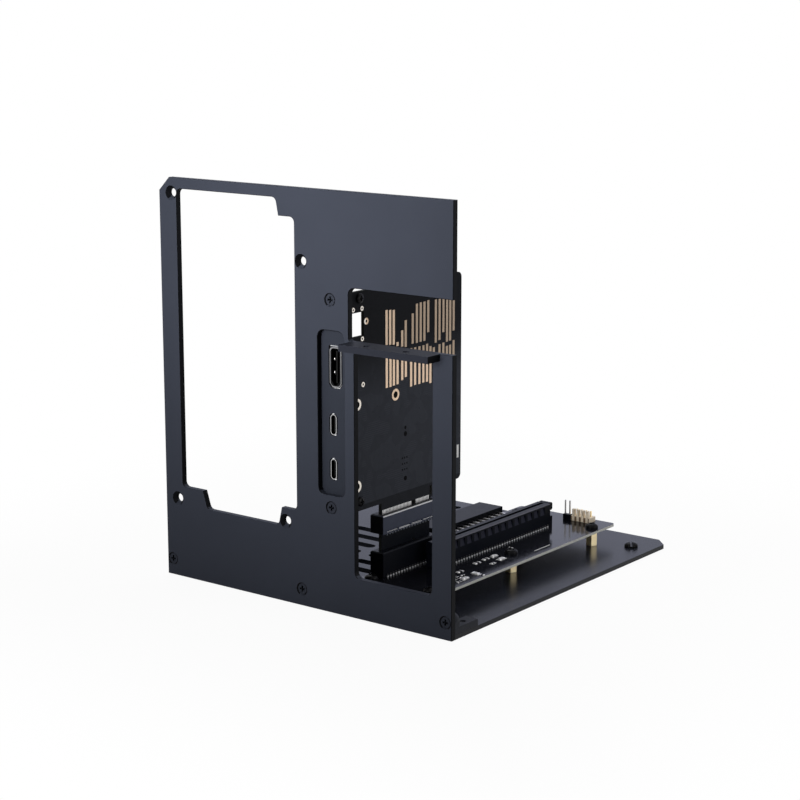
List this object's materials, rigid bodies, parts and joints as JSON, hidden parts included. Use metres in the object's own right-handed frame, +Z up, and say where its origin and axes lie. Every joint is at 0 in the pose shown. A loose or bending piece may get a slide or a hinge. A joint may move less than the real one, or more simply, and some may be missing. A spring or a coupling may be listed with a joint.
{
  "type": "external graphics card enclosure",
  "caption": "Open dock for a graphics card: upright plate cut for a power supply and a card bracket, on a vented base with a slotted board and an upright controller card with ports.",
  "frame": {"origin": "centre of the footprint, at the underside of the base plate", "axes": "+Z up, +Y from the front panel towards the rear, +X to the right as the panel is seen from the front"},
  "size_m": [0.16, 0.1862, 0.1812],
  "materials": {
    "panel_metal": "satin slate coat",
    "base_metal": "satin black coat",
    "angle_metal": "satin black coat",
    "bracket_metal": "satin slate coat",
    "black_screw": "black oxide",
    "circuit_board": "glossy black solder mask",
    "standoff_brass": "turned",
    "slot_plastic": "moulded",
    "tinned_contact": "tinned",
    "gold_contact": "gold plated",
    "port_steel": "bright plated",
    "port_plastic": "moulded",
    "chip_plastic": "moulded",
    "sink_aluminium": "black anodised",
    "cream_plastic": "moulded"
  },
  "bodies": {
    "dock": {"base_plate": "base_metal", "base_screws": "black_screw", "board_screws": "black_screw", "board_standoffs": "standoff_brass", "bracket_ledge": "panel_metal", "card_bracket": "bracket_metal", "card_copper": "gold_contact", "card_fingers": "gold_contact", "card_screws": "black_screw", "card_slot_contacts": "tinned_contact", "card_slot_housing": "slot_plastic", "controller_board": "circuit_board", "controller_chip": "chip_plastic", "controller_heat_sink": "sink_aluminium", "corner_angle_left": "angle_metal", "corner_angle_middle": "angle_metal", "corner_angle_right": "angle_metal", "data_port_lower_shell": "port_steel", "data_port_lower_tongue": "port_plastic", "data_port_upper_shell": "port_steel", "data_port_upper_tongue": "port_plastic", "fan_connector": "cream_plastic", "fan_connector_pins": "tinned_contact", "front_panel": "panel_metal", "graphics_slot_contacts": "tinned_contact", "graphics_slot_housing": "slot_plastic", "main_board": "circuit_board", "panel_screws": "black_screw", "power_header": "slot_plastic", "power_header_leads": "tinned_contact", "rear_screws": "black_screw", "riser_board": "circuit_board", "riser_slot_contacts": "tinned_contact", "riser_slot_housing": "slot_plastic", "switch_header": "slot_plastic", "switch_header_pins": "tinned_contact", "video_port_shell": "port_steel", "video_port_tongue": "port_plastic"},
    "latch": {"graphics_slot_latch": "slot_plastic"}
  },
  "joints": [
    {"name": "latch_hinge", "type": "hinge", "parent": "dock", "child": "latch", "pos_m": [0.032, 0.0575, 0.013], "axis": [-1, 0, 0], "range_deg": [0, 18]}
  ]
}
